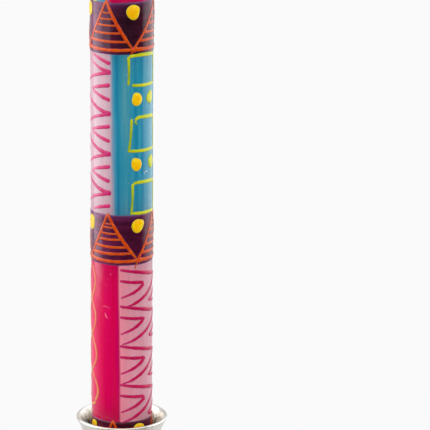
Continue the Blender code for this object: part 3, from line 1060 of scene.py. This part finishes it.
# Turned parts that are seen: how finely each is turned and how dented it is.
TURNED = (
    ("candle_cup", 0.3 * MM, 216, 0.02 * MM),
    ("cup_collar", 0.3 * MM, 144, 0),
    ("stem_column", 0.4 * MM, 144, 0),
    ("stem_ring", 0.3 * MM, 144, 0),
    ("base_shell", 0.6 * MM, 180, 0.01 * MM),
)
CARRIED_OVER = {
    "base_weight": "iron",
    "washer": "steel",
    "hex_nut": "steel",
    "tie_bolt": "steel",
    "felt_pad": "felt",
}


def make_holder(materials):
    for name, step, turns, dents in TURNED:
        finish = (materials["nickel"], "holder", "polished_nickel")
        piece = lathe("spun_" + name, profile_of(name), *finish, step, turns, dents)
        if name == "candle_cup":
            darken_inner_wall(piece)
        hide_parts(name)
    for name, key in CARRIED_OVER.items():
        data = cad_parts[name].data
        data.materials.clear()
        data.materials.append(materials[key])


# ---- stage

CAMERA_DISTANCE = 1.0
CAMERA_ELEVATION = 14.8
CAMERA_LENS = 239.4
AIM_ABOVE_RIM = 73.3 * MM
TURN_ASIDE = 1.866
WHITE = 0.956


def make_camera():
    """The camera looks a little down at the lower half of the candle, which stands left of the middle."""
    data = bpy.data.cameras.new("camera")
    data.sensor_width = 36
    data.lens = CAMERA_LENS
    camera = new_object("camera", data)
    elevation = math.radians(CAMERA_ELEVATION)
    back = Vector((0, -math.cos(elevation), math.sin(elevation)))
    camera.location = Vector((0, 0, RIM + AIM_ABOVE_RIM)) + back * CAMERA_DISTANCE
    aimed = (-back).to_track_quat("-Z", "Y")
    aside = Matrix.Rotation(-math.radians(TURN_ASIDE), 3, "Y").to_quaternion()
    camera.rotation_mode = "QUATERNION"
    camera.rotation_quaternion = aimed @ aside
    bpy.context.scene.camera = camera


def make_world():
    """Pale studio white where the camera looks, a little dimmer in reflections, and dim as a lamp."""
    world = bpy.data.worlds.new("studio")
    bpy.context.scene.world = world
    world.use_nodes = True
    tree = world.node_tree
    path = node(tree, "LightPath")
    unseen = node(tree, "MapRange", {"Value": path.outputs["Is Glossy Ray"], "To Min": 0.38, "To Max": 0.8})
    level = node(tree, "Mix", {0: path.outputs["Is Camera Ray"], 2: unseen.outputs[0], 3: WHITE})
    tree.links.new(level.outputs[0], tree.nodes["Background"].inputs["Strength"])
    tree.nodes["Background"].inputs["Color"].default_value = (1, 1, 1, 1)


FLOOR_RADIUS = 3.0
POOL = 0.12
POOL_EDGE = 0.24
SWEEP = 0.12


def make_floor():
    """A pale table top, lit round the holder and behind it. It takes shadows only close to the holder."""
    mesh = bpy.data.meshes.new("floor")
    bm = bmesh.new()
    bmesh.ops.create_circle(bm, cap_ends=True, segments=96, radius=FLOOR_RADIUS)
    bm.to_mesh(mesh)
    bm.free()
    floor = new_object("floor", mesh)
    material, tree = new_material("floor")
    tree.nodes.clear()
    place = node(tree, "TexCoord").outputs["Object"]
    reach = node(tree, "VectorMath", {0: place}, operation="LENGTH").outputs["Value"]
    pool = ramped(tree, reach, POOL, POOL_EDGE, 0.85, 0.05)
    behind = node(tree, "SeparateXYZ", {0: place}).outputs["Y"]
    sweep = ramped(tree, behind, -SWEEP, SWEEP, 0, 0.75)
    lit = node(tree, "Math", {0: pool, 1: sweep}, operation="MAXIMUM").outputs[0]
    seen = node(tree, "LightPath").outputs["Is Camera Ray"]
    level = node(tree, "Mix", {0: seen, 2: lit, 3: WHITE}).outputs[0]
    glow = node(tree, "Emission", {"Color": (1, 1, 1, 1), "Strength": level})
    matt = node(tree, "BsdfDiffuse", {"Color": (0.6, 0.6, 0.6, 1)})
    shaded = ramped(tree, reach, 0.04, POOL, 0.55, 0)
    both = node(tree, "MixShader", {0: shaded, 1: glow.outputs[0], 2: matt.outputs[0]})
    output = node(tree, "OutputMaterial")
    tree.links.new(both.outputs[0], output.inputs["Surface"])
    mesh.materials.append(material)


def add_softbox(name, place, aim, wide, tall, radiance):
    """An area light of this radiance, turned to face aim."""
    data = bpy.data.lights.new(name, "AREA")
    data.shape = "RECTANGLE"
    data.size = wide
    data.size_y = tall
    data.energy = radiance * math.pi * wide * tall
    light = new_object(name, data)
    light.location = place
    light.rotation_mode = "QUATERNION"
    light.rotation_quaternion = (Vector(aim) - Vector(place)).to_track_quat("-Z", "Y")
    light.visible_camera = False
    return light


def softbox_round(name, azimuth, distance, wide, low, radiance):
    turn = math.radians(azimuth)
    middle = (low + BOX_TOP) / 2
    place = (distance * math.sin(turn), -distance * math.cos(turn), middle)
    add_softbox(name, place, (0, 0, middle), wide, BOX_TOP - low, radiance)


# Softboxes round the candle: degrees from the front to the right, distance, width, lower edge and radiance.
SOFTBOXES = {
    "left_softbox": (-98, 0.42, 0.38, 0.0, 2.4),
    "left_front_softbox": (-57, 0.5, 0.27, 0.02, 1.25),
    "right_softbox": (115, 0.45, 0.6, 0.0, 1.05),
}
BOX_TOP = 0.66
# Lights that reflections don't see: where each stands and its radiance.
FILLS = {
    "front_fill": ((0, -0.9, 0.5), 1.12),
    "left_fill": ((-0.8, -0.5, 0.5), 0.5),
    "right_fill": ((0.8, -0.5, 0.5), 1.7),
    "back_fill": ((0, 0.9, 0.5), 1.4),
}
FILL_SIZE = 0.9
CANDLE_MIDDLE = (0, 0, 0.17)


def make_stage():
    make_world()
    make_floor()
    for name, settings in SOFTBOXES.items():
        softbox_round(name, *settings)
    add_softbox("top_softbox", (0, 0, 0.9), (0, 0, 0), 0.8, 0.8, 1.15)
    for name, (place, radiance) in FILLS.items():
        fill = add_softbox(name, place, CANDLE_MIDDLE, FILL_SIZE, FILL_SIZE, radiance)
        fill.visible_glossy = False
    bpy.context.scene.view_settings.view_transform = "Standard"


def main():
    make_camera()
    make_stage()
    materials = make_materials()
    for band in BANDS:
        make_band(band, materials)
    for tier in TIERS:
        for index in range(len(COLOURS)):
            make_panel(tier, index, materials)
    make_patterns(materials)
    make_core(materials)
    make_wick(materials)
    make_holder(materials)


main()
